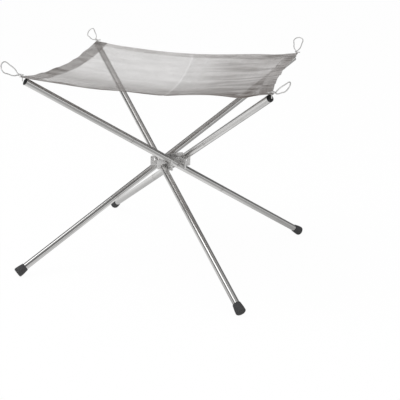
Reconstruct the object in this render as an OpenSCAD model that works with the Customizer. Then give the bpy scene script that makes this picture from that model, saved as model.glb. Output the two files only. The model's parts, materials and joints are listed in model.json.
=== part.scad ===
// Folding fire pit: four crossing three-section tube legs on a riveted hub,
// with a square of woven steel cloth hooked over the leg tips.
// Millimetres, +Z up, origin on the ground under the middle of the hub.

/* [Stand] */
// Distance between the tips of neighbouring legs
corner_span = 410; // [380:5:450]
// Slope of an opened leg above the ground, in degrees
leg_angle = 31.4; // [29:0.2:34]
// Distance of each leg's plane from the middle of the hub
hub_offset = 21.5; // [20:0.5:26]
// Length of a leg from the crossing down to the sole of its foot
lower_reach = 354; // [336:1:376]
// Distance of the hinge rivet below the crossing, along the tube
pivot_drop = 3; // [2:0.5:4]

/* [Leg tubes] */
// Outside diameter of every tube section
tube_d = 12.7; // [11:0.1:13.2]
// Wall of every tube section
tube_wall = 0.8; // [0.6:0.1:1.1]
// Distance from the rivet up to the upper seam
upper_seam = 111; // [95:1:130]
// Distance from the rivet down to the lower seam
lower_seam = 117; // [100:1:135]
// Length of the joining sleeve on each side of a seam
sleeve_len = 28; // [20:1:40]
// Wall of the joining sleeve
sleeve_wall = 0.9; // [0.6:0.1:1.2]

/* [Feet and tips] */
// Diameter of the rubber foot at its sole
foot_d = 18.4; // [17:0.2:21]
// Diameter of the foot's mouth
foot_mouth_d = 15; // [14.6:0.1:16.4]
// Length of the foot
foot_len = 19; // [16:0.5:24]
// Rounding of the sole's edge
foot_round = 2.6; // [1.6:0.1:3.4]
// Thickness of the rubber under the end of the tube
foot_sole = 4; // [3:0.5:6]
// Depth of the worn flat under each foot
foot_flat = 0.6; // [0.4:0.1:1]
// Length of a tip plug inside its tube
plug_len = 14; // [10:1:20]
// Height of the plug's domed end
plug_dome = 1.6; // [1:0.1:2.2]

/* [Hub] */
// Thickness of the pressed sheet
plate_t = 1.5; // [1.2:0.1:2]
// Height of the square hub ring
ring_h = 19; // [16:0.5:22]
// Width of the end of a stop plate's ear, outside the tube it guides
ear_end = 7; // [6:0.5:10]
// Diameter of a rivet's shank
rivet_d = 4; // [3:0.1:4.6]
// Diameter of a rivet's head
rivet_head_d = 7; // [6.4:0.1:8]

/* [Steel cloth] */
// Thickness of the cloth
cloth_t = 0.6; // [0.4:0.1:1]
// Sag in the middle of each edge
edge_sag = 12; // [6:0.5:14]
// Further sag of the middle below the edges
dish_sag = 4; // [2:0.5:10]
// Depth of the storage creases
crease_sag = 2; // [0.5:0.5:4]
// Inward bow of each edge, seen from above
edge_bow = 8; // [4:0.5:11]
// Reach of the cloth past the hook at each corner
corner_lap = 5; // [4:0.5:8]
// Grid squares along one side
cloth_cells = 20; // [12:2:22]

/* [Wire hooks] */
// Diameter of the spring wire
wire_d = 2; // [1.6:0.1:2.4]
// Length of the twisted neck
neck_len = 8; // [6:0.5:11]
// Length of the finger loop
loop_len = 40; // [32:1:46]
// Width of the finger loop, between wire centres
loop_w = 19; // [14:0.5:23]

/* [Clearances] */
// Gap between a tube and the plates beside it
side_gap = 0.3; // [0.2:0.05:0.5]
// Gap of the sliding sleeve inside its tube
slide_gap = 0.05; // [0.03:0.01:0.1]
// Gap of the rivet in its holes
pivot_gap = 0.05; // [0.03:0.01:0.1]
// Gap between parts that only rest on each other
rest_gap = 0.3; // [0.2:0.05:0.5]

/* [Hidden] */
$fn = 64;
tube_r = tube_d / 2;
bore_r = tube_r - tube_wall;
wire_r = wire_d / 2;
ca = cos(leg_angle);
sa = sin(leg_angle);

// Level run of a leg from the crossing to its tip, and the matching lengths from the rivet
tip_radius = corner_span / sqrt(2);
tip_run = sqrt(tip_radius * tip_radius - hub_offset * hub_offset);
upper_len = tip_run / ca + pivot_drop;
lower_len = lower_reach - pivot_drop;
foot_drop = (foot_d / 2 - foot_round) * ca + foot_round * (1 - sa);
hub_z = lower_reach * sa + foot_drop - foot_flat;
tip_z = hub_z + tip_run * tan(leg_angle);

// Stop plates lie between the ring and the tubes
plate_out = tube_r + side_gap;
ring_half = hub_offset - plate_out - plate_t;
lap_gap = 0.1;
ear_h = ring_h / 2 - lap_gap;
ear_in = hub_offset + tube_r + rest_gap;
ear_reach = ear_in + ear_end;

// Tip plug: height and reach of its highest and furthest rims
head_t = 0.8;
dome_r = (tube_r * tube_r + plug_dome * plug_dome) / (2 * plug_dome);
rim_z = tip_z + head_t * sa + tube_r * ca;
rim_run = tip_run + head_t * ca + tube_r * sa;

// Cloth corners stand on the same bearings as the leg tips
hook_run = rim_run + rest_gap + wire_r;
corner_run = hook_run + corner_lap;
cloth_half = sqrt(corner_run * corner_run + hub_offset * hub_offset) / sqrt(2);
cloth_turn = atan(hub_offset / corner_run);
cloth_z = rim_z + rest_gap + cloth_t + 0.17 * edge_sag;

steel = [0.78, 0.79, 0.80];
sheet_steel = [0.70, 0.71, 0.72];
rubber = [0.16, 0.16, 0.17];
black = [0.08, 0.08, 0.09];
woven = [0.62, 0.63, 0.64];

// Bearing of each leg's tip: front left, front right, back right, back left
function bearing(leg) = 225 + 90 * leg;

// Puts a child drawn along +X, +X being up the leg, with its origin on the hinge rivet
module on_leg(leg) {
    rotate([0, 0, bearing(leg)])
        translate([-pivot_drop * ca, hub_offset, hub_z - pivot_drop * sa])
            rotate([0, -leg_angle, 0])
                children();
}

module along(from) {
    translate([from, 0, 0])
        rotate([0, 90, 0])
            children();
}

module pipe(from, to, outer, inner) {
    along(from) difference() {
        cylinder(h = to - from, r = outer);
        translate([0, 0, -1]) cylinder(h = to - from + 2, r = inner);
    }
}

module round_square(half, corner) {
    square([2 * half, 2 * (half - corner)], center = true);
    square([2 * (half - corner), 2 * half], center = true);
    for (x = [-1, 1], y = [-1, 1])
        translate([x * (half - corner), y * (half - corner)]) circle(r = corner);
}

// Pieces of the hub

module rivet_hole(leg) {
    on_leg(leg)
        rotate([90, 0, 0])
            cylinder(h = 2 * hub_offset, r = rivet_d / 2 + pivot_gap, center = true);
}

module hub_ring() {
    color(sheet_steel) difference() {
        translate([0, 0, hub_z - ring_h / 2])
            rotate([0, 0, bearing(0)])
                linear_extrude(ring_h) difference() {
                    round_square(ring_half, 3);
                    round_square(ring_half - plate_t, 3 - plate_t / 2);
                }
        for (leg = [0:3]) intersection() {
            rivet_hole(leg);
            rotate([0, 0, bearing(leg) + 90])
                translate([2, -ring_half, 0])
                    cube([ring_half, 2 * ring_half, 2 * hub_z]);
        }
    }
}

// Stop plate, seen along the rivet. One ear passes over the next tube and one under the tube before,
// each half as high as the plate, so that the four plates lap where they cross. The ends of the ears
// are as high as the plate again and guide the tubes from outside.
module plate_outline() {
    round_r = 2.6;
    edge = ring_h / 2 - round_r;
    square([2 * (ring_half - lap_gap), ring_h], center = true);
    for (turn = [0, 180]) rotate(turn) {
        translate([0, lap_gap]) square([ear_reach - round_r, ear_h]);
        translate([ear_in, -edge]) square([ear_end, 2 * edge]);
        translate([ear_in + round_r, -edge - round_r]) square([ear_end - 2 * round_r, edge]);
        translate([ear_in + round_r, -edge]) circle(r = round_r);
        for (z = [-edge, edge]) translate([ear_reach - round_r, z]) circle(r = round_r);
    }
}

module stop_plate(leg) {
    color(sheet_steel) difference() {
        rotate([0, 0, bearing(leg)])
            translate([0, ring_half + plate_t, hub_z])
                rotate([90, 0, 0])
                    linear_extrude(plate_t) plate_outline();
        rivet_hole(leg);
    }
}

// Rivet that is fast in the tube, its head shaped to the round of it, and turns in the plate and the ring
module rivet(leg) {
    back = -plate_out - 2 * plate_t - rest_gap;
    head = rivet_head_d / 2;
    seat = tube_r - sqrt(tube_r * tube_r - head * head);
    cap = 1.6;
    ball = (head * head + cap * cap) / (2 * cap);
    color(steel) on_leg(leg) {
        rotate([-90, 0, 0]) {
            translate([0, 0, back - 1]) cylinder(h = tube_r - back + 1.5, r = rivet_d / 2);
            translate([0, 0, back - 1.2]) cylinder(h = 1.2, r = head);
        }
        difference() {
            rotate([-90, 0, 0]) {
                translate([0, 0, tube_r - seat]) cylinder(h = seat + 0.3, r = head);
                intersection() {
                    translate([0, 0, tube_r + 0.3 + cap - ball]) sphere(r = ball);
                    translate([0, 0, tube_r + 0.3]) cylinder(h = cap + 1, r = head + 1);
                }
            }
            along(-2 * head) cylinder(h = 4 * head, r = tube_r + pivot_gap);
        }
    }
}

// Pieces of a leg

module middle_tube(leg) {
    color(steel) on_leg(leg) difference() {
        pipe(-lower_seam, upper_seam, tube_r, bore_r);
        rotate([90, 0, 0])
            cylinder(h = 3 * tube_d, r = rivet_d / 2 + pivot_gap, center = true);
    }
}

module upper_sleeve(leg) {
    out = bore_r - slide_gap;
    color(steel) on_leg(leg)
        pipe(upper_seam - sleeve_len, upper_seam + sleeve_len, out, out - sleeve_wall);
}

module lower_sleeve(leg) {
    out = bore_r - slide_gap;
    color(steel) on_leg(leg)
        pipe(-lower_seam - sleeve_len, -lower_seam + sleeve_len, out, out - sleeve_wall);
}

module upper_tube(leg) {
    color(steel) on_leg(leg)
        pipe(upper_seam + rest_gap, upper_len, tube_r, bore_r);
}

module lower_tube(leg) {
    color(steel) on_leg(leg)
        pipe(-lower_len + foot_sole, -lower_seam - rest_gap, tube_r, bore_r);
}

module tip_plug(leg) {
    color(black) on_leg(leg) along(upper_len) {
        translate([0, 0, -plug_len]) cylinder(h = plug_len + 0.4, r = bore_r - slide_gap);
        cylinder(h = head_t, r = tube_r);
        intersection() {
            translate([0, 0, head_t + plug_dome - dome_r]) sphere(r = dome_r, $fn = 96);
            translate([0, 0, head_t]) cylinder(h = plug_dome + 1, r = tube_r);
        }
    }
}

// Rubber cup that widens towards a flat sole with a rounded edge, worn flat where it meets the ground
module foot_profile() {
    sole_r = foot_d / 2;
    mouth_r = foot_mouth_d / 2;
    lip = 0.8;
    square([sole_r - foot_round, foot_len - lip]);
    translate([sole_r - foot_round, foot_round]) circle(r = foot_round);
    polygon([[0, foot_round], [sole_r, foot_round], [sole_r - 0.3, 0.45 * foot_len],
        [mouth_r, foot_len - lip], [mouth_r - lip, foot_len], [0, foot_len]]);
    translate([mouth_r - lip, foot_len - lip]) circle(r = lip);
}

module foot(leg) {
    color(rubber) difference() {
        on_leg(leg) along(-lower_len) difference() {
            rotate_extrude() intersection() {
                foot_profile();
                square([foot_d, 2 * foot_len]);
            }
            translate([0, 0, foot_sole - slide_gap])
                cylinder(h = 3 * foot_len, r = tube_r + slide_gap);
        }
        translate([-corner_span, -corner_span, -50])
            cube([2 * corner_span, 2 * corner_span, 50]);
    }
}

// Steel cloth: a square hung by its corners, with sagging bowed edges and two storage creases

// Places of the grid lines, the outer ones a hem's width from the edge
function grid_at(k) =
    k == 0 ? -1
    : k == cloth_cells ? 1
    : (1 - 25 / cloth_half) * (2 * (k - 1) / (cloth_cells - 2) - 1);

function sag(x, y) =
    edge_sag * (2 - x * x - y * y)
    + dish_sag * (1 - x * x) * (1 - y * y)
    + crease_sag * (1 - abs(x)) * (1 - y * y)
    + 0.6 * crease_sag * (1 - abs(y)) * (1 - x * x);

function cloth_point(i, j, low) =
    let (x = grid_at(i), y = grid_at(j))
    [x * (cloth_half - edge_bow * (1 - y * y)),
        y * (cloth_half - edge_bow * (1 - x * x)),
        cloth_z - sag(x, y) - (low ? cloth_t : 0)];

module cloth_sheet() {
    n = cloth_cells;
    row = n + 1;
    half = row * row;
    points = [for (low = [false, true]) for (j = [0:n]) for (i = [0:n]) cloth_point(i, j, low)];
    top = [for (j = [0:n - 1]) for (i = [0:n - 1]) for (f = [0, 1])
        f == 0
            ? [j * row + i, (j + 1) * row + i + 1, j * row + i + 1]
            : [j * row + i, (j + 1) * row + i, (j + 1) * row + i + 1]];
    under = [for (f = top) [f[0] + half, f[2] + half, f[1] + half]];
    rim = concat([for (i = [0:n - 1]) i], [for (j = [0:n - 1]) j * row + n],
        [for (i = [0:n - 1]) n * row + n - i], [for (j = [0:n - 1]) (n - j) * row]);
    wall = [for (k = [0:len(rim) - 1]) for (f = [0, 1])
        let (a = rim[k], b = rim[(k + 1) % len(rim)])
        f == 0 ? [a, b, b + half] : [a, b + half, a + half]];
    polyhedron(points = points, faces = concat(top, under, wall), convexity = 4);
}

module cloth() {
    color(woven) difference() {
        rotate([0, 0, cloth_turn]) cloth_sheet();
        for (leg = [0:3]) rotate([0, 0, bearing(leg)])
            translate([hook_run, hub_offset, cloth_z - 15])
                cylinder(h = 30, r = wire_r + rest_gap);
    }
}

// Spring wire: a straight hook down over the leg tip, a neck and a teardrop finger loop

module rod(a, b) {
    d = b - a;
    reach = norm(d);
    translate(a)
        rotate([0, acos(d[2] / reach), atan2(d[1], d[0])])
            cylinder(h = reach, r = wire_r);
}

// Swing, rise of the neck, rise of the loop and twist of each hook, as they are bent by hand
bends = [[18.5, 11, 30, 107], [4, 4.5, 27, 50], [48, 0, 38, -4], [-2, 0, 22, 127]];

// Teardrop in the level plane, its two strands starting side by side in the neck's bead
module finger_loop() {
    round_r = loop_w / 2;
    start = 1.2 * wire_r;
    middle = loop_len - round_r - wire_r;
    away = sqrt(middle * middle + start * start);
    lean = asin(round_r / away) - atan(start / middle);
    reach = sqrt(away * away - round_r * round_r);
    for (side = [-1, 1]) {
        bend = [reach * cos(lean), side * (start + reach * sin(lean)), 0];
        rod([0, side * start, 0], bend);
        translate(bend) sphere(r = 1.04 * wire_r);
    }
    translate([middle, 0, 0])
        rotate([0, 0, -90 - lean])
            rotate_extrude(angle = 180 + 2 * lean) translate([round_r, 0]) circle(r = wire_r);
}

module hook(leg) {
    neck = cloth_z + 2.2 * wire_r + rest_gap;
    foot_end = tip_z + 1;
    bend = bends[leg];
    color(steel) rotate([0, 0, bearing(leg)]) translate([hook_run, hub_offset, 0]) {
        rod([0, 0, foot_end], [0, 0, neck]);
        translate([0, 0, foot_end]) sphere(r = wire_r);
        translate([0, 0, neck]) sphere(r = 2.2 * wire_r);
        translate([0, 0, neck]) rotate([0, 0, bend[0]]) {
            rotate([0, -bend[1], 0]) {
                rod([0, 0, 0], [neck_len, 0, 0]);
                translate([neck_len, 0, 0]) sphere(r = 2.5 * wire_r);
            }
            translate([neck_len * cos(bend[1]), 0, neck_len * sin(bend[1])])
                rotate([0, -bend[2], 0])
                    rotate([bend[3], 0, 0])
                        finger_loop();
            rod([0.2, -1.2, 0], [1.5, -8, 0]);
        }
    }
}

hub_ring();
stop_plate(0);  // stop_plate_front_left
stop_plate(1);  // stop_plate_front_right
stop_plate(2);  // stop_plate_back_right
stop_plate(3);  // stop_plate_back_left
rivet(0);  // rivet_front_left
rivet(1);  // rivet_front_right
rivet(2);  // rivet_back_right
rivet(3);  // rivet_back_left
middle_tube(0);  // middle_tube_front_left
middle_tube(1);  // middle_tube_front_right
middle_tube(2);  // middle_tube_back_right
middle_tube(3);  // middle_tube_back_left
upper_sleeve(0);  // upper_sleeve_front_left
upper_sleeve(1);  // upper_sleeve_front_right
upper_sleeve(2);  // upper_sleeve_back_right
upper_sleeve(3);  // upper_sleeve_back_left
lower_sleeve(0);  // lower_sleeve_front_left
lower_sleeve(1);  // lower_sleeve_front_right
lower_sleeve(2);  // lower_sleeve_back_right
lower_sleeve(3);  // lower_sleeve_back_left
upper_tube(0);  // upper_tube_front_left
upper_tube(1);  // upper_tube_front_right
upper_tube(2);  // upper_tube_back_right
upper_tube(3);  // upper_tube_back_left
tip_plug(0);  // tip_plug_front_left
tip_plug(1);  // tip_plug_front_right
tip_plug(2);  // tip_plug_back_right
tip_plug(3);  // tip_plug_back_left
lower_tube(0);  // lower_tube_front_left
lower_tube(1);  // lower_tube_front_right
lower_tube(2);  // lower_tube_back_right
lower_tube(3);  // lower_tube_back_left
foot(0);  // foot_front_left
foot(1);  // foot_front_right
foot(2);  // foot_back_right
foot(3);  // foot_back_left
cloth();
hook(0);  // hook_front_left
hook(1);  // hook_front_right
hook(2);  // hook_back_right
hook(3);  // hook_back_left
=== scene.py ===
import json
import math

import bpy
from mathutils import Matrix, Vector, noise


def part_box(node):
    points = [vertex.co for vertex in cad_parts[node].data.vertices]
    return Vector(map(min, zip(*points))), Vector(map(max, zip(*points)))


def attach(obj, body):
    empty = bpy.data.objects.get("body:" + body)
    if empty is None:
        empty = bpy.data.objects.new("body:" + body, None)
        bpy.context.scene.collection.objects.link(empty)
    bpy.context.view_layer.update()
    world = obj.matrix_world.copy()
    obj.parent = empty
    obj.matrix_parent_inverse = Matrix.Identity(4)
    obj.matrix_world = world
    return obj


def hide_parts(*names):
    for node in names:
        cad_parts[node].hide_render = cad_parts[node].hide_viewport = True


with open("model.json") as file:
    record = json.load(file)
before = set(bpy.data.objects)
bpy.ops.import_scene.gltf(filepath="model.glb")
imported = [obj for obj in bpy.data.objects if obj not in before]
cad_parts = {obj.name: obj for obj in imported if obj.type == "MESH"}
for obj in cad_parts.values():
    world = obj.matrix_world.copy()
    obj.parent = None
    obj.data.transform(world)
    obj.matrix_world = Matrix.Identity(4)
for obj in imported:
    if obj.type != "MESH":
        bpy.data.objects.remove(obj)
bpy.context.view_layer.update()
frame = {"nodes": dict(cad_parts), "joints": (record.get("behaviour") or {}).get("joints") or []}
nodes = frame["nodes"]
legNames = ["front_left", "front_right", "back_right", "back_left"]  # by the corner each tip holds
print("frame loaded:", len(nodes), "solids")


class Signal:  # a socket that takes part in sums
    def __init__(self, finish, socket):
        self.finish = finish
        self.socket = socket

    def sum(self, operation, first, second=0.0):
        return self.finish.node("ShaderNodeMath", {"operation": operation}, {0: first, 1: second})

    def __add__(self, other):
        return self.sum("ADD", self, other)

    def __radd__(self, other):
        return self.sum("ADD", other, self)

    def __sub__(self, other):
        return self.sum("SUBTRACT", self, other)

    def __rsub__(self, other):
        return self.sum("SUBTRACT", other, self)

    def __mul__(self, other):
        return self.sum("MULTIPLY", self, other)

    def __rmul__(self, other):
        return self.sum("MULTIPLY", other, self)

    def __abs__(self):
        return self.sum("ABSOLUTE", self)

    def top(self, other):  # the larger of the two
        return self.sum("MAXIMUM", self, other)

    def wave(self):
        return self.sum("SINE", self)

    def ramp(self, start, end, fromValue=0.0, toValue=1.0):  # smooth step between two values
        return self.finish.node("ShaderNodeMapRange", {"interpolation_type": "SMOOTHSTEP"},
                                {"Value": self, "From Min": start, "From Max": end,
                                 "To Min": fromValue, "To Max": toValue})


class Finish:  # one node tree, of a material or of the world
    def __init__(self, owner):
        self.owner = owner
        owner.use_nodes = True
        self.tree = owner.node_tree
        self.tree.nodes.clear()

    def node(self, kind, settings=None, inputs=None, output=0):
        made = self.tree.nodes.new(kind)
        for key, value in (settings or {}).items():
            setattr(made, key, value)
        for key, value in (inputs or {}).items():
            if isinstance(value, Signal):
                self.tree.links.new(value.socket, made.inputs[key])
            else:
                made.inputs[key].default_value = value
        return Signal(self, made.outputs[output]) if made.outputs else None

    def place(self):  # metres, in the frame that the solids share
        return self.node("ShaderNodeTexCoord", output="Object")

    def dot(self, vector, direction):
        return self.node("ShaderNodeVectorMath", {"operation": "DOT_PRODUCT"},
                         {0: vector, 1: tuple(direction)}, "Value")

    def distance(self, vector, point):
        return self.node("ShaderNodeVectorMath", {"operation": "DISTANCE"},
                         {0: vector, 1: tuple(point)}, "Value")

    def join(self, x, y, z):
        return self.node("ShaderNodeCombineXYZ", None, {"X": x, "Y": y, "Z": z})

    def grain(self, vector, scale=1.0, detail=3.0, rough=0.6):
        return self.node("ShaderNodeTexNoise", {"noise_dimensions": "3D"},
                         {"Vector": vector, "Scale": scale, "Detail": detail, "Roughness": rough})

    def colours(self, factor, first, second):  # 6, 7 and 2 are the Mix node's colour sockets
        return self.node("ShaderNodeMix", {"data_type": "RGBA"},
                         {0: factor, 6: rgba(first), 7: rgba(second)}, 2)

    def bump(self, height, strength, distance, normal=None):
        sockets = {"Height": height, "Strength": strength, "Distance": distance}
        if normal is not None:
            sockets["Normal"] = normal
        return self.node("ShaderNodeBump", None, sockets)

    def surface(self, **sockets):
        names = {key.replace("_", " "): value for key, value in sockets.items()}
        shader = self.node("ShaderNodeBsdfPrincipled", None, names)
        self.node("ShaderNodeOutputMaterial", None, {"Surface": shader})
        return self.owner


def rgba(colour):
    return colour if isinstance(colour, Signal) else (*colour, 1.0)


def newFinish(name):
    return Finish(bpy.data.materials.new(name))


# Camera at the photograph's angle, set for a square frame
view = {
    "target": (0.0607, 0.0, 0.1186),
    "distance": 1.7131,
    "turn": 0.2553,  # radians, seen from the front and a little from the right
    "rise": 0.3228,
    "roll": 0.0314,
    "lens": 80.47,  # millimetres, as is the sensor
    "sensor": 36,
}


def makeCamera():
    turn, rise, roll = view["turn"], view["rise"], view["roll"]
    level = math.cos(rise)
    back = Vector((math.sin(turn) * level, -math.cos(turn) * level, math.sin(rise)))
    right = (-back).cross(Vector((0, 0, 1))).normalized()
    up = right.cross(-back)
    across = right * math.cos(roll) + up * math.sin(roll)
    over = up * math.cos(roll) - right * math.sin(roll)
    data = bpy.data.cameras.new("camera")
    data.sensor_fit = "HORIZONTAL"
    data.sensor_width = view["sensor"]
    data.lens = view["lens"]
    camera = bpy.data.objects.new("camera", data)
    pose = Matrix((across, over, back)).transposed().to_4x4()
    pose.translation = Vector(view["target"]) + back * view["distance"]
    camera.matrix_world = pose
    bpy.context.scene.collection.objects.link(camera)
    bpy.context.scene.camera = camera


makeCamera()
bpy.context.scene.view_settings.view_transform = "Standard"
print("camera set")


def seen(finish):  # rays that should meet the white background
    camera = finish.node("ShaderNodeLightPath", output="Is Camera Ray")
    rays = camera.socket.node.outputs
    glossy = Signal(finish, rays["Is Glossy Ray"])
    through = Signal(finish, rays["Is Transmission Ray"])
    return camera.top(glossy).top(through), glossy


# Floor of pale paper, shaded from left to right where polished metal mirrors it
paper = {
    "size": 14.0,
    "drop": 0.0004,  # keeps clear of the soles
    "colour": (0.90, 0.90, 0.90),
    "whiteShare": 0.95,  # the rest shows the stand's shadow
    "white": 1.012,  # lifts that mix to plain white
    "sideways": (0.97, 0.25, 0),
    "sideEdges": (-0.45, 0.15),
    "mirroredLeft": 0.92,
    "mirroredRight": 0.42,
    "mirroredUnder": 0.44,  # added below the stand
    "underSpot": (0.06, 0, 0),
    "underEdges": (0.04, 0.26),
}


def makeFloor():
    reach, level = paper["size"] / 2, -paper["drop"]
    mesh = bpy.data.meshes.new("floor")
    mesh.from_pydata([(-reach, -reach, level), (reach, -reach, level),
                      (reach, reach, level), (-reach, reach, level)], [], [(0, 1, 2, 3)])
    floor = bpy.data.objects.new("floor", mesh)
    bpy.context.scene.collection.objects.link(floor)
    finish = newFinish("palePaper")
    background, glossy = seen(finish)
    matt = finish.node("ShaderNodeBsdfDiffuse", None, {"Color": rgba(paper["colour"])})
    spot = finish.node("ShaderNodeNewGeometry", output="Position")
    side = finish.dot(spot, paper["sideways"])
    mirrored = side.ramp(*paper["sideEdges"], paper["mirroredLeft"], paper["mirroredRight"])
    under = 1 - finish.distance(spot, paper["underSpot"]).ramp(*paper["underEdges"])
    mirrored = mirrored + under * paper["mirroredUnder"]
    glow = (1 - glossy) * paper["white"] + glossy * mirrored
    white = finish.node("ShaderNodeEmission", None, {"Color": glow})
    mixed = finish.node("ShaderNodeMixShader", None,
                        {0: background * paper["whiteShare"], 1: matt, 2: white})
    finish.node("ShaderNodeOutputMaterial", None, {"Surface": mixed})
    mesh.materials.append(finish.owner)


# Air of the studio: even light for matt surfaces, and a room that polished metal mirrors
room = {
    "light": 0.60,
    "dim": 0.15,  # walls between the bright parts
    "stripEdges": (0.18, 0.34),  # a bright strip low down fades out at these heights
    "stripBack": (-0.25, 0.97, 0),  # and towards the back
    "stripBackEdges": (-0.5, 0.4),
    "stripFrontLevel": 0.72,
    "stripBackLevel": 0.12,
    "ceilingEdges": (0.66, 0.90),
    "ceilingLevel": 0.30,
    "windowToward": (-0.50, -0.28, 0.82),
    "windowEdges": (0.955, 0.988),
    "windowLevel": 1.9,
}


def makeWorld():
    world = bpy.data.worlds.new("studioAir")
    bpy.context.scene.world = world
    finish = Finish(world)
    background, glossy = seen(finish)
    toward = finish.node("ShaderNodeTexCoord", output="Generated")
    height = finish.dot(toward, (0, 0, 1))
    strip = 1 - height.ramp(*room["stripEdges"])
    stripLevel = finish.dot(toward, room["stripBack"]).ramp(
        *room["stripBackEdges"], room["stripFrontLevel"], room["stripBackLevel"])
    ceiling = height.ramp(*room["ceilingEdges"])
    window = finish.dot(toward, room["windowToward"]).ramp(*room["windowEdges"])
    mirrored = room["dim"] + strip * stripLevel
    mirrored = mirrored + ceiling * room["ceilingLevel"] + window * room["windowLevel"]
    level = (1 - glossy) + glossy * mirrored
    air = finish.node("ShaderNodeBackground", None,
                      {"Color": background * level + (1 - background) * room["light"]})
    finish.node("ShaderNodeOutputWorld", None, {"Surface": air})


lamps = {
    "keySoftbox": {"power": 13.0, "size": 1.3, "spot": (-0.9, -0.5, 2.0), "aim": (0, 0, 0.25)},
    "fillSoftbox": {"power": 5.0, "size": 0.9, "spot": (1.5, -1.4, 1.2), "aim": (0, 0, 0.2)},
}


def makeLamp(name, power, size, spot, aim):
    data = bpy.data.lights.new(name, "AREA")
    data.energy = power
    data.size = size
    lamp = bpy.data.objects.new(name, data)
    lamp.matrix_world = (Vector(aim) - Vector(spot)).to_track_quat("-Z", "Y").to_matrix().to_4x4()
    lamp.location = spot
    lamp.visible_glossy = False  # polished metal mirrors the room alone
    bpy.context.scene.collection.objects.link(lamp)


makeFloor()
makeWorld()
for lampName, lampSetup in lamps.items():
    makeLamp(lampName, **lampSetup)
print("studio set")

# Sizes and places read from the solids, in metres and radians
joints = {joint["name"]: joint for joint in frame["joints"]}


def span(name, direction):  # from where to where a solid reaches in a direction
    solid = nodes[name]
    runs = [(solid.matrix_world @ vertex.co).dot(direction) for vertex in solid.data.vertices]
    return min(runs), max(runs)


def legFrame(legName):  # outward over the ground, sideways and up along the leg
    along = -Vector(joints["pull_" + legName]["axis"]).normalized()
    outward = Vector((along.x, along.y, 0)).normalized()
    return outward, Vector((0, 0, 1)).cross(outward), along


def measureCloth():  # a square turned a little, because the legs pass beside the stand's middle
    side = legFrame(legNames[0])[1]
    offset = sum(span("middle_tube_" + legNames[0], side)) / 2
    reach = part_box("cloth")[1][0]  # of a corner, to the right
    cornerRun = reach * math.sqrt(2) - offset  # outward over the ground, to a corner
    return {
        "offset": offset,
        "cornerRun": cornerRun,
        "half": math.hypot(cornerRun, offset) / math.sqrt(2),
        "turn": math.atan2(offset, cornerRun),
        "top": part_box("cloth")[1][2],
    }


hung = {key: round(value, 5) for key, value in measureCloth().items()}
print("hung cloth:", hung)


def paint(names, material):
    for name in names:
        slots = nodes[name].data.materials
        slots.clear()
        slots.append(material)


# Drawn stainless tube: long fine lines, soft smears and rubbed rings at the seams
tubeLook = {
    "colour": (0.72, 0.715, 0.705),
    "stain": (0.58, 0.57, 0.55),
    "smearStain": 0.5,
    "ringStain": 0.3,
    "rough": 0.16,
    "lineRough": 0.03,
    "smearRough": 0.05,
    "ringRough": 0.10,
    "linesAlong": 9,  # changes per metre
    "lineWidth": 0.0014,
    "smearsAlong": 22,
    "smearsAcross": 60,
    "stainEdges": (0.52, 0.78),
    "roughEdges": (0.45, 0.8),
    "ringEdges": (0.0006, 0.007),  # either way from the seam
}


def tubeSteel(legName):
    look = tubeLook
    side, along = legFrame(legName)[1:]
    crown = along.cross(side)
    pivot = Vector(joints["fold_" + legName]["pos_m"])
    low, high = span("middle_tube_" + legName, along)
    finish = newFinish("tubeSteel_" + legName)
    place = finish.place()
    run = finish.dot(place, along) - along.dot(pivot)
    across = finish.dot(place, side) - side.dot(pivot)
    over = finish.dot(place, crown) - crown.dot(pivot)
    fine, wide = 1 / look["lineWidth"], look["smearsAcross"]
    lines = finish.grain(finish.join(run * look["linesAlong"], across * fine, over * fine))
    smear = finish.grain(finish.join(run * look["smearsAlong"], across * wide, over * wide))
    upper, lower = [1 - abs(run - (seam - along.dot(pivot))).ramp(*look["ringEdges"])
                    for seam in (high, low)]
    ring = upper.top(lower)
    stained = smear.ramp(*look["stainEdges"]) * look["smearStain"] + ring * look["ringStain"]
    colour = finish.colours(stained, look["colour"], look["stain"])
    rough = look["rough"] + lines * look["lineRough"]
    rough = rough + smear.ramp(*look["roughEdges"]) * look["smearRough"] + ring * look["ringRough"]
    return finish.surface(Base_Color=colour, Metallic=1.0, Roughness=rough)


# Pressed and plated sheet of the hub, with painted shade darkening it round the tubes near the
# hub's middle
pressedLook = {
    "colour": (0.93, 0.925, 0.915),
    "shade": (0.80, 0.79, 0.78),
    "dustAndShade": (0.24, 0.235, 0.23),
    "cloud": (95, 3.0, 0.6),  # scale, detail and roughness of the noise
    "shadeEdges": (0.45, 0.75),
    "shadeShare": 0.6,
    "dustAndShadeEdges": (0.016, 0.032),  # metres from the hub's middle
    "paintedShadeRagged": 0.016,
    "dustAndShadeShare": 0.8,
    "metal": 0.45,
    "rough": 0.36,
    "cloudRough": 0.06,
    "peelRough": 0.12,
    "peel": (420, 2.0, 0.5),
    "peelBump": (0.04, 0.0002),  # strength, and height in metres
    "edgeRadius": 0.00035,
    "edgeSamples": 4,
}


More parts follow.
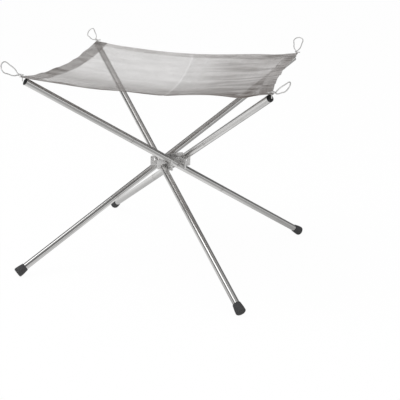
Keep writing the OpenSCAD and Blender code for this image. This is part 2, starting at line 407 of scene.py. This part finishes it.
def pressedSteel():
    look = pressedLook
    finish = newFinish("pressedSteel")
    place = finish.place()
    peel = finish.grain(place, *look["peel"])
    cloud = finish.grain(place, *look["cloud"])
    flatPlace = finish.join(finish.dot(place, (1, 0, 0)), finish.dot(place, (0, 1, 0)), 0.0)
    # painted shade: darker towards the hub's middle, with ragged edges, where plates and tubes
    # crowd together
    away = finish.distance(flatPlace, (0, 0, 0)) + cloud * look["paintedShadeRagged"]
    dustAndShadeMask = (1 - away.ramp(*look["dustAndShadeEdges"])) * look["dustAndShadeShare"]
    shaded = cloud.ramp(*look["shadeEdges"]) * look["shadeShare"]
    plated = finish.colours(shaded, look["colour"], look["shade"])
    rough = look["rough"] + peel * look["peelRough"] + cloud * look["cloudRough"]
    edges = finish.node("ShaderNodeBevel", {"samples": look["edgeSamples"]},
                        {"Radius": look["edgeRadius"]})
    return finish.surface(Base_Color=finish.colours(dustAndShadeMask, plated, look["dustAndShade"]),
                          Metallic=look["metal"], Roughness=rough,
                          Normal=finish.bump(peel, *look["peelBump"], edges))


# Rubber feet, greyer where the ground has dusted them
rubberLook = {
    "colour": (0.062, 0.062, 0.064),
    "dustAndShade": (0.20, 0.195, 0.19),
    "cloud": (210, 3.0, 0.6),
    "soleHeight": 0.0055,  # dust from the ground reaches up to here
    "soleEdges": (0.35, 0.65),
    "soleShare": 0.8,
    "dustAndShadeEdges": (0.5, 0.85),
    "dustAndShadeShare": 0.3,
    "rough": 0.58,
    "cloudRough": 0.16,
    "shine": 0.42,
    "speck": (1900, 2.0, 0.6),
    "speckBump": (0.18, 0.0004),
}


def footRubber():
    look = rubberLook
    finish = newFinish("footRubber")
    place = finish.place()
    speck = finish.grain(place, *look["speck"])
    cloud = finish.grain(place, *look["cloud"])
    low = 1 - finish.dot(place, (0, 0, 1)).ramp(0.0, look["soleHeight"])
    dustAndShadeMask = low * cloud.ramp(*look["soleEdges"]) * look["soleShare"]
    dustAndShadeMask = dustAndShadeMask + cloud.ramp(*look["dustAndShadeEdges"]) * look["dustAndShadeShare"]
    return finish.surface(Base_Color=finish.colours(dustAndShadeMask, look["colour"], look["dustAndShade"]),
                          Roughness=look["rough"] + cloud * look["cloudRough"],
                          Specular_IOR_Level=look["shine"],
                          Normal=finish.bump(speck, *look["speckBump"]))


# Small parts: a cloudy colour with a fine grain
rivetLook = {
    "colour": (0.60, 0.59, 0.58),
    "shade": (0.34, 0.33, 0.32),
    "cloud": (260, 3.0, 0.6),
    "shadeEdges": (0.5, 0.8),
    "metal": 1.0,
    "rough": 0.30,
    "cloudRough": 0.18,
    "fineRough": 0.0,
    "fine": (400, 1.0, 0.5),
    "fineBump": (0.06, 0.0002),
}
plugLook = {
    "colour": (0.014, 0.014, 0.015),
    "shade": (0.05, 0.05, 0.052),  # worn grey
    "cloud": (300, 3.0, 0.5),
    "shadeEdges": (0.5, 0.8),
    "metal": 0.0,
    "rough": 0.36,
    "cloudRough": 0.16,
    "fineRough": 0.0,
    "fine": (2400, 2.0, 0.5),
    "fineBump": (0.14, 0.0003),
}
wireLook = {
    "colour": (0.90, 0.895, 0.885),
    "shade": (0.66, 0.65, 0.64),
    "cloud": (120, 2.0, 0.5),
    "shadeEdges": (0.48, 0.75),
    "metal": 0.75,
    "rough": 0.26,
    "cloudRough": 0.0,
    "fineRough": 0.14,
    "fine": (900, 3.0, 0.6),
    "fineBump": (0.12, 0.0003),
}
smallPartShade = 0.7  # how far the clouds go towards the shade


def smallPart(name, look):
    finish = newFinish(name)
    place = finish.place()
    fine = finish.grain(place, *look["fine"])
    cloud = finish.grain(place, *look["cloud"])
    shaded = cloud.ramp(*look["shadeEdges"]) * smallPartShade
    rough = look["rough"] + cloud * look["cloudRough"] + fine * look["fineRough"]
    return finish.surface(Base_Color=finish.colours(shaded, look["colour"], look["shade"]),
                          Metallic=look["metal"], Roughness=rough,
                          Normal=finish.bump(fine, *look["fineBump"]))


tubeKinds = ("middle_tube_", "upper_tube_", "lower_tube_", "upper_sleeve_", "lower_sleeve_")
for legName in legNames:
    paint([kind + legName for kind in tubeKinds], tubeSteel(legName))
paint(["hub_ring"] + ["stop_plate_" + name for name in legNames], pressedSteel())
paint(["foot_" + name for name in legNames], footRubber())
paint(["rivet_" + name for name in legNames], smallPart("rivetSteel", rivetLook))
paint(["tip_plug_" + name for name in legNames], smallPart("plugBlack", plugLook))
springWire = smallPart("springWire", wireLook)
paint(["hook_" + name for name in legNames], springWire)
print("solids painted")

# Steel cloth: a square with a hem folded over on each side, hung from its corner hooks
cloth = {
    "hem": 0.025,
    "foldRadius": 0.00025,
    "drop": 0.0005,  # the lowest layer lies this far under the solid's top face
    "edgeSag": 0.012,
    "dishSag": 0.004,
    "creaseSag": 0.002,
    "crossCrease": 0.6,  # share of it along the other crease
    "frontSag": 0.0025,  # the front edge hangs lower at the left
    "frontEdges": (0.2, 1.0),
    "edgeBow": 0.008,
    "rightBow": 0.9,  # the right edge is drawn in by this much more
    "rightEdges": (0.3, 1.0),
    "cells": 108,
    "bendCells": 4,
    "hemCells": 6,
}

# Depths in metres, places and widths in shares of the half side
wrinkle = {
    "pinned": (0.03, 0.30),  # no wrinkles right at the hooks
    "foldAt": 0.07,  # the storage fold, from front to back
    "foldSlope": 0.075,  # a little askew
    "foldDepth": 0.0014,
    "foldWidth": 0.10,
    "foldRidge": 0.0007,
    "crossAt": 0.11,  # and a fainter one across it
    "crossDepth": 0.0008,
    "crossWidth": 0.09,
    "crossRidge": 0.0004,
    "ridgeWidth": 0.016,
    "pullDepth": 0.0030,  # folds that fan out from each corner
    "pullsPerRadian": 19,
    "pullLean": 1.7,
    "pullPhaseLeft": 2.1,
    "pullPhaseRight": 1.3,
    "pullReach": 0.42,
    "frontLeftReach": 0.62,
    "gather": 2.4,  # added share at the front right corner
    "gatherEdges": (0.3, 0.8),
    "dipDepth": 0.0180,  # slack in the front edge beside the right tip
    "dipAt": 0.88,
    "dipWidth": 0.18,
    "dipEdges": (0.45, 1.0),
}

# Noise that moves the cloth up and down: where it grows, how fine it is and from where it starts
ripples = [
    {"side": "all", "edges": (0.0, 1.0), "depth": 0.0013,
     "fine": (1.9, 1.9), "start": (0, 0, 4.2)},
    {"side": "right", "edges": (0.05, 0.35), "depth": 0.0013,
     "fine": (3.1, 8.5), "start": (0, 0, 9.1)},
    {"side": "left", "edges": (0.0, 0.4), "depth": 0.0006,
     "fine": (2.6, 6.0), "start": (0, 0, 1.6)},
    {"side": "rim", "edges": (0.80, 1.0), "depth": 0.0016,
     "fine": (3.4, 3.4), "start": (0, 0, 7.7)},
    {"side": "left", "edges": (0.84, 1.0), "depth": 0.0022,
     "fine": (0, 5.2), "start": (1.3, 0, 3.1)},
    {"side": "right", "edges": (0.80, 1.0), "depth": 0.0034,
     "fine": (0, 7.5), "start": (5.7, 0, 2.4)},
]


def smooth(value, start, end):
    share = min(1.0, max(0.0, (value - start) / (end - start)))
    return share * share * (3 - 2 * share)


def bell(value, width):
    return math.exp(-(value / width) ** 2)


def creases(x, y):
    narrow = wrinkle["ridgeWidth"]
    aside = x - (wrinkle["foldAt"] - wrinkle["foldSlope"] * y)
    fold = wrinkle["foldRidge"] * bell(aside, narrow)
    fold -= wrinkle["foldDepth"] * math.exp(-abs(aside) / wrinkle["foldWidth"])
    beyond = y - wrinkle["crossAt"]
    cross = wrinkle["crossRidge"] * bell(beyond, narrow)
    cross -= wrinkle["crossDepth"] * math.exp(-abs(beyond) / wrinkle["crossWidth"])
    return fold + cross * (1 - x * x)


def cornerPull(x, y, corner):
    angle = math.atan2(1 - abs(y), 1 - abs(x))
    phase = wrinkle["pullPhaseRight"] if x > 0 else wrinkle["pullPhaseLeft"]
    reach = wrinkle["frontLeftReach"] if x < 0 and y < 0 else wrinkle["pullReach"]
    gathered = smooth(x, *wrinkle["gatherEdges"]) * smooth(-y, *wrinkle["gatherEdges"])
    fan = math.sin(wrinkle["pullsPerRadian"] * angle + phase + wrinkle["pullLean"] * y)
    depth = wrinkle["pullDepth"] * (1 + wrinkle["gather"] * gathered)
    return depth * fan * corner * bell(corner, reach)


def rippled(x, y):
    far = {"all": 1.0, "left": -x, "right": x, "rim": max(abs(x), abs(y))}
    height = 0.0
    for ripple in ripples:
        fineX, fineY = ripple["fine"]
        spot = Vector((x * fineX, y * fineY, 0)) + Vector(ripple["start"])
        share = smooth(far[ripple["side"]], *ripple["edges"])
        height += ripple["depth"] * share * noise.noise(spot)
    return height


def clothWrinkle(x, y):
    corner = math.hypot(1 - abs(x), 1 - abs(y))
    dip = wrinkle["dipDepth"] * (1 - x * x) * bell(x - wrinkle["dipAt"], wrinkle["dipWidth"])
    dip *= smooth(-y, *wrinkle["dipEdges"])
    height = creases(x, y) + cornerPull(x, y, corner) + rippled(x, y) - dip
    return smooth(corner, *wrinkle["pinned"]) * height


def clothPoint(x, y):  # x and y run from -1 to 1 over the hung square
    inX, inY = 1 - x * x, 1 - y * y
    sag = cloth["edgeSag"] * (inX + inY) + cloth["dishSag"] * inX * inY
    sag += cloth["creaseSag"] * ((1 - abs(x)) * inY + cloth["crossCrease"] * (1 - abs(y)) * inX)
    sag += cloth["frontSag"] * inX * (1 - x) * smooth(-y, *cloth["frontEdges"])
    bow = cloth["edgeBow"] * (1 + cloth["rightBow"] * smooth(x, *cloth["rightEdges"]))
    place = Vector((x * (hung["half"] - bow * inY),
                    y * (hung["half"] - cloth["edgeBow"] * inX),
                    hung["top"] - cloth["drop"] - sag + clothWrinkle(x, y)))
    return Matrix.Rotation(hung["turn"], 3, "Z") @ place


def foldOver(run):  # where a distance along the flat cut lies once its hem is folded
    radius = cloth["foldRadius"]
    size = hung["half"] - radius
    past = abs(run) - size
    if past <= 0:
        return run, 0.0
    sign = 1 if run >= 0 else -1
    if past <= math.pi * radius:
        bend = past / radius
        return sign * (size + radius * math.sin(bend)), radius * (1 - math.cos(bend))
    return sign * (size - (past - math.pi * radius)), 2 * radius


def flatLines():  # lines of the mesh on the flat cut, closer together in the fold
    size = hung["half"] - cloth["foldRadius"]
    bend = math.pi * cloth["foldRadius"]
    count, bendCells, hemCells = cloth["cells"], cloth["bendCells"], cloth["hemCells"]
    inner = [size * (2 * k / count - 1) for k in range(count + 1)]
    outer = [size + bend * k / bendCells for k in range(1, bendCells + 1)]
    outer += [size + bend + (cloth["hem"] - bend) * k / hemCells for k in range(1, hemCells + 1)]
    return [-value for value in reversed(outer)] + inner + outer


def makeCloth():
    lines = flatLines()
    count = len(lines)
    half = hung["half"]
    points = []
    for v in lines:
        y, liftY = foldOver(v)
        for u in lines:
            x, liftX = foldOver(u)
            point = clothPoint(x / half, y / half)
            points.append(point + Vector((0, 0, liftX + liftY)))
    faces = [(j * count + i, j * count + i + 1, (j + 1) * count + i + 1, (j + 1) * count + i)
             for j in range(count - 1) for i in range(count - 1)]
    mesh = bpy.data.meshes.new("steelCloth")
    mesh.from_pydata(points, [], faces)
    mesh.polygons.foreach_set("use_smooth", [True] * len(faces))
    flat = mesh.uv_layers.new(name="flatCut")
    for loop in mesh.loops:  # the flat cut, in metres
        j, i = divmod(loop.vertex_index, count)
        flat.data[loop.index].uv = (lines[i], lines[j])
    sheet = bpy.data.objects.new("steelCloth", mesh)
    bpy.context.scene.collection.objects.link(sheet)
    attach(sheet, "cloth_set")
    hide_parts("cloth")
    return sheet


# Weave of fine steel wire with open meshes between, places in metres on the flat cut
weaveLook = {
    "colour": (0.83, 0.802, 0.788),
    "shade": (0.215, 0.185, 0.168),
    "pitch": 0.0013,
    "metal": 0.40,
    "rough": 0.42,
    "cloudRough": 0.12,
    "threadBump": (0.12, 0.0005),
    "threadAlong": 9,  # changes per metre along a wire and across it
    "threadAcross": 420,
    "threadNoise": (1.0, 3.0, 0.65),
    "cloudNoise": (16, 4.0, 0.6),
    "bandAcross": 7,  # rubbed crossways by rolling up
    "bandDown": 34,
    "bandNoise": (1.0, 4.0, 0.6),
    "puckerScale": 30,
    "noiseLayers": {"streak": 0.0, "slub": 3.0, "band": 5.0, "pucker": 2.0},
    "shadedHalfEdges": (-0.02, 0.14),  # the right half is painted darker and more opaque: painted shade
    "nearEdges": (-0.18, 0.03),  # darker towards the front
    "nearShift": -0.03,  # of the second edge, in the half with painted shade
    "creaseEdges": (0.0004, 0.0026),  # either way from the storage fold
    "besideStart": (0.0005, 0.0040),
    "besideEnd": (0.006, 0.040),
    "hemEdges": (-0.00046, 0.00074),  # from the hem's raw edge
    "tipAcross": (0.06, 0.20),  # drawn thin towards the front left tip
    "tipDown": (0.08, 0.20),
    "frontHemShadedHalf": 0.6,  # how much of the front hem's tone is lost in the half with painted shade
}

# Shares by which each mark moves the colour towards the shade
weaveTone = {
    "thread": 0.24, "threadEdges": (0.34, 0.66),
    "cloud": 0.20, "cloudEdges": (0.35, 0.70),
    "band": 0.14, "bandShadedHalf": 0.34, "bandEdges": (0.40, 0.60),
    "near": 0.44, "nearShadedHalf": 0.12,
    "frontHem": 0.28, "frontHemPucker": 0.06,
    "crease": 0.26,
    "beside": 0.16,
    "hem": 0.23, "hemPucker": 0.24,
    "leftHem": 0.36, "leftHemPucker": 0.16, "leftHemNear": 0.32,
    "tip": 0.38,
    "puckerEdges": (0.40, 0.62),
}

# Shares by which each mark closes or opens the meshes
weaveCover = {
    "crownEdges": (0.55, 0.80), "mesh": 0.22, "wire": 0.72,
    "thread": 0.25,
    "shadedHalf": 0.36,
    "crease": 0.08,
    "near": 0.30, "nearShadedHalf": 0.16,
    "leftHem": 0.10,
    "frontHem": 0.14,
    "tip": 0.22,
}


def steelWeave():
    look, tones, covers = weaveLook, weaveTone, weaveCover
    layers = look["noiseLayers"]
    hemEdges = [hung["half"] - cloth["hem"] + edge for edge in look["hemEdges"]]
    finish = newFinish("steelWeave")
    flat = finish.node("ShaderNodeUVMap", {"uv_map": "flatCut"})
    across = finish.dot(flat, (1, 0, 0))
    down = finish.dot(flat, (0, 1, 0))
    left, front = 0 - across, 0 - down

    def noiseAt(perAcross, perDown, layer, *settings):
        spot = finish.join(across * perAcross, down * perDown, layers[layer])
        return finish.grain(spot, *settings)

    turns = 2 * math.pi / look["pitch"]
    upperWire = (across * turns).wave().top((down * turns).wave())
    crown = upperWire * 0.5 + 0.5  # its height, from 0 to 1
    along, over = look["threadAlong"], look["threadAcross"]
    streak = noiseAt(along, over, "streak", *look["threadNoise"])
    slub = noiseAt(over, along, "slub", *look["threadNoise"])
    thread = streak * 0.5 + slub * 0.5
    cloud = finish.grain(flat, *look["cloudNoise"])
    band = noiseAt(look["bandAcross"], look["bandDown"], "band", *look["bandNoise"])
    pucker = noiseAt(look["puckerScale"], look["puckerScale"], "pucker")
    puckers = pucker.ramp(*tones["puckerEdges"])

    # painted shade: the right half of the cloth is darker and more opaque, standing in for how
    # light falls on it
    shadedHalf = across.ramp(*look["shadedHalfEdges"])
    nearStart, nearEnd = look["nearEdges"]
    near = 1 - down.ramp(nearStart, shadedHalf * look["nearShift"] + nearEnd)
    aside = across + down * wrinkle["foldSlope"] - wrinkle["foldAt"] * hung["half"]
    crease = 1 - abs(aside).ramp(*look["creaseEdges"])
    beside = aside.ramp(*look["besideStart"]) * (1 - aside.ramp(*look["besideEnd"]))
    hem = abs(across).top(abs(down)).ramp(*hemEdges)
    leftHem = left.ramp(*hemEdges)
    frontHem = front.ramp(*hemEdges) * (1 - shadedHalf * look["frontHemShadedHalf"])
    tip = left.ramp(*look["tipAcross"]) * front.ramp(*look["tipDown"])

    tone = thread.ramp(*tones["threadEdges"]) * tones["thread"]
    tone = tone + cloud.ramp(*tones["cloudEdges"]) * tones["cloud"]
    tone = tone + band.ramp(*tones["bandEdges"]) * (tones["band"] + shadedHalf * tones["bandShadedHalf"])
    tone = tone + near * (tones["near"] - shadedHalf * tones["nearShadedHalf"])
    tone = tone + frontHem * (puckers * tones["frontHemPucker"] + tones["frontHem"])
    # painted highlight along the storage fold, and painted shade in a band on one side of it
    tone = tone - crease * tones["crease"] + beside * tones["beside"]
    tone = tone + hem * (puckers * tones["hemPucker"] - tones["hem"])
    leftTone = puckers * tones["leftHemPucker"] + tones["leftHem"] - near * tones["leftHemNear"]
    tone = tone + leftHem * leftTone
    tone = tone - tip * tones["tip"]

    cover = crown.ramp(*covers["crownEdges"], covers["mesh"], covers["wire"])
    cover = cover + (thread - 0.5) * covers["thread"]
    cover = cover + shadedHalf * covers["shadedHalf"] - crease * covers["crease"]
    cover = cover + near * (covers["near"] - shadedHalf * covers["nearShadedHalf"])
    cover = cover + leftHem * covers["leftHem"] + frontHem * covers["frontHem"]
    cover = cover - tip * covers["tip"]
    return finish.surface(Base_Color=finish.colours(tone, look["colour"], look["shade"]),
                          Metallic=look["metal"],
                          Roughness=look["rough"] + cloud * look["cloudRough"],
                          Alpha=cover, Normal=finish.bump(thread, *look["threadBump"]))


sheet = makeCloth()
sheet.data.materials.append(steelWeave())
print("cloth hung:", len(sheet.data.polygons), "faces")

# Corner hooks: a spring wire up from the tip, through a twisted neck round a loop and off in a tail
hook = {
    "wire": 0.001,  # radius
    "cornerGap": 0.005,  # from the cloth's corner in to the stem
    "stemStart": 0.001,  # above the lowest point of the solid
    "neckLift": 2.2,  # wire radii from the cloth up to the neck's middle
    "clothGap": 0.0003,
    "stemEnd": 0.0016,  # below the neck's middle
    "stemCells": 4,
    "neckLength": 0.008,
    "neckTwist": 1.25,  # turns of the two strands round each other
    "neckSpread": 1.05,  # wire radii from the neck's middle to a strand
    "neckFrom": 0.2,
    "neckTo": 0.95,
    "neckCells": 9,
    "loopLength": 0.040,
    "loopWidth": 0.019,
    "loopSpread": 1.2,  # wire radii from the loop's middle line to a strand, at the neck
    "loopInset": 0.002,
    "loopFlare": 0.0024,  # how far the strands bow outward beside the neck
    "strandCells": 8,
    "bowCells": 16,
    "coilRadius": 0.0018,  # once round the stem
    "coilFrom": 50,
    "coilTurn": 270,
    "coilHeight": 0.0008,
    "coilDrop": 0.0012,
    "coilCells": 8,
    "tail": ((0.0009, -0.0034, -0.0003), (0.0012, -0.0056, -0.0002), (0.0015, -0.0080, 0.0)),
    # degrees for each leg: swing sideways, rise of the neck, rise of the loop, its twist
    "bends": ((18.5, 11, 30, 107), (4, 4.5, 27, 50), (48, 0, 38, -4), (-2, 0, 22, 127)),
    "curveOrder": 3,
    "curveSteps": 5,
    "roundSteps": 3,
}


def loopPoints():  # in the loop's own plane, out along x and back
    radius, cells, bowCells = hook["loopWidth"] / 2, hook["strandCells"], hook["bowCells"]
    start = hook["loopSpread"] * hook["wire"]
    middle = hook["loopLength"] - radius - hook["wire"]
    away = math.hypot(middle, start)
    lean = math.asin(radius / away) - math.atan(start / middle)
    reach = math.sqrt(away * away - radius * radius)
    neckEnd = Vector((hook["loopInset"], start, 0))
    bowEnd = Vector((reach * math.cos(lean), start + reach * math.sin(lean), 0))
    back = []
    for k in range(cells + 1):
        share = 1 - k / cells
        flare = hook["loopFlare"] * 27 / 4 * share * (1 - share) ** 2  # peaks a third of the way
        back.append(neckEnd.lerp(bowEnd, share) + Vector((0, flare, 0)))
    out = [Vector((point.x, -point.y, 0)) for point in reversed(back)]
    bow = []
    for k in range(1, bowCells):
        angle = -math.pi / 2 - lean + (math.pi + 2 * lean) * k / bowCells
        bow.append(Vector((middle + radius * math.cos(angle), radius * math.sin(angle), 0)))
    return out + bow + back


def coilPoints():  # round the stem and off in the tail
    points, radius = [], hook["coilRadius"]
    for k in range(hook["coilCells"] + 1):
        share = k / hook["coilCells"]
        angle = math.radians(hook["coilFrom"] + hook["coilTurn"] * share)
        points.append(Vector((radius * math.cos(angle), radius * math.sin(angle),
                              hook["coilHeight"] - hook["coilDrop"] * share)))
    return points + [Vector(point) for point in hook["tail"]]


def hookPath(leg):
    swing, neckRise, loopRise, twist = [math.radians(bend) for bend in hook["bends"][leg]]
    spin = Matrix.Rotation(swing, 3, "Z")
    neck = spin @ Matrix.Rotation(-neckRise, 3, "Y")
    loop = spin @ Matrix.Rotation(-loopRise, 3, "Y") @ Matrix.Rotation(twist, 3, "X")
    neckHeight = hung["top"] + hook["neckLift"] * hook["wire"] + hook["clothGap"]
    base = Vector((0, 0, neckHeight))
    loopStart = base + neck @ Vector((hook["neckLength"], 0, 0))
    toward = neck.transposed() @ (loop @ Vector((0, -1, 0)))
    phase = math.atan2(toward.z, toward.y)  # where the first strand leaves the neck
    spread = hook["neckSpread"] * hook["wire"]

    def strandAt(share, half):
        angle = phase + math.pi * half - 2 * math.pi * hook["neckTwist"] * (1 - share)
        return base + neck @ Vector((hook["neckLength"] * share,
                                     spread * math.cos(angle), spread * math.sin(angle)))

    low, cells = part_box("hook_" + legNames[leg])[0][2] + hook["stemStart"], hook["stemCells"]
    stemRise = neckHeight - hook["stemEnd"] - low
    neckFrom, neckTo, neckCells = hook["neckFrom"], hook["neckTo"], hook["neckCells"]
    shares = [neckFrom + (neckTo - neckFrom) * k / neckCells for k in range(neckCells + 1)]
    points = [Vector((0, 0, low + stemRise * k / cells)) for k in range(cells + 1)]
    points += [strandAt(share, 0) for share in shares]
    points += [loopStart + loop @ point for point in loopPoints()]
    points += [strandAt(share, 1) for share in reversed(shares)]
    points += [base + spin @ point for point in coilPoints()]
    outward, side = legFrame(legNames[leg])[:2]
    turn = Matrix((outward, side, (0, 0, 1))).transposed()
    corner = Vector((hung["cornerRun"] - hook["cornerGap"], hung["offset"], 0))
    return [turn @ (corner + point) for point in points]


def makeHook(leg):
    points = hookPath(leg)
    name = "cornerHook_" + legNames[leg]
    data = bpy.data.curves.new(name, "CURVE")
    data.dimensions = "3D"
    data.bevel_depth = hook["wire"]
    data.bevel_resolution = hook["roundSteps"]
    data.resolution_u = hook["curveSteps"]
    data.use_fill_caps = True
    spline = data.splines.new("NURBS")
    spline.points.add(len(points) - 1)
    for spot, point in zip(spline.points, points):
        spot.co = (*point, 1.0)
    spline.order_u = hook["curveOrder"]
    spline.use_endpoint_u = True
    piece = bpy.data.objects.new(name, data)
    bpy.context.scene.collection.objects.link(piece)
    data.materials.append(springWire)
    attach(piece, "cloth_set")
    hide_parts("hook_" + legNames[leg])


for leg in range(len(legNames)):
    makeHook(leg)
print("hooks bent")
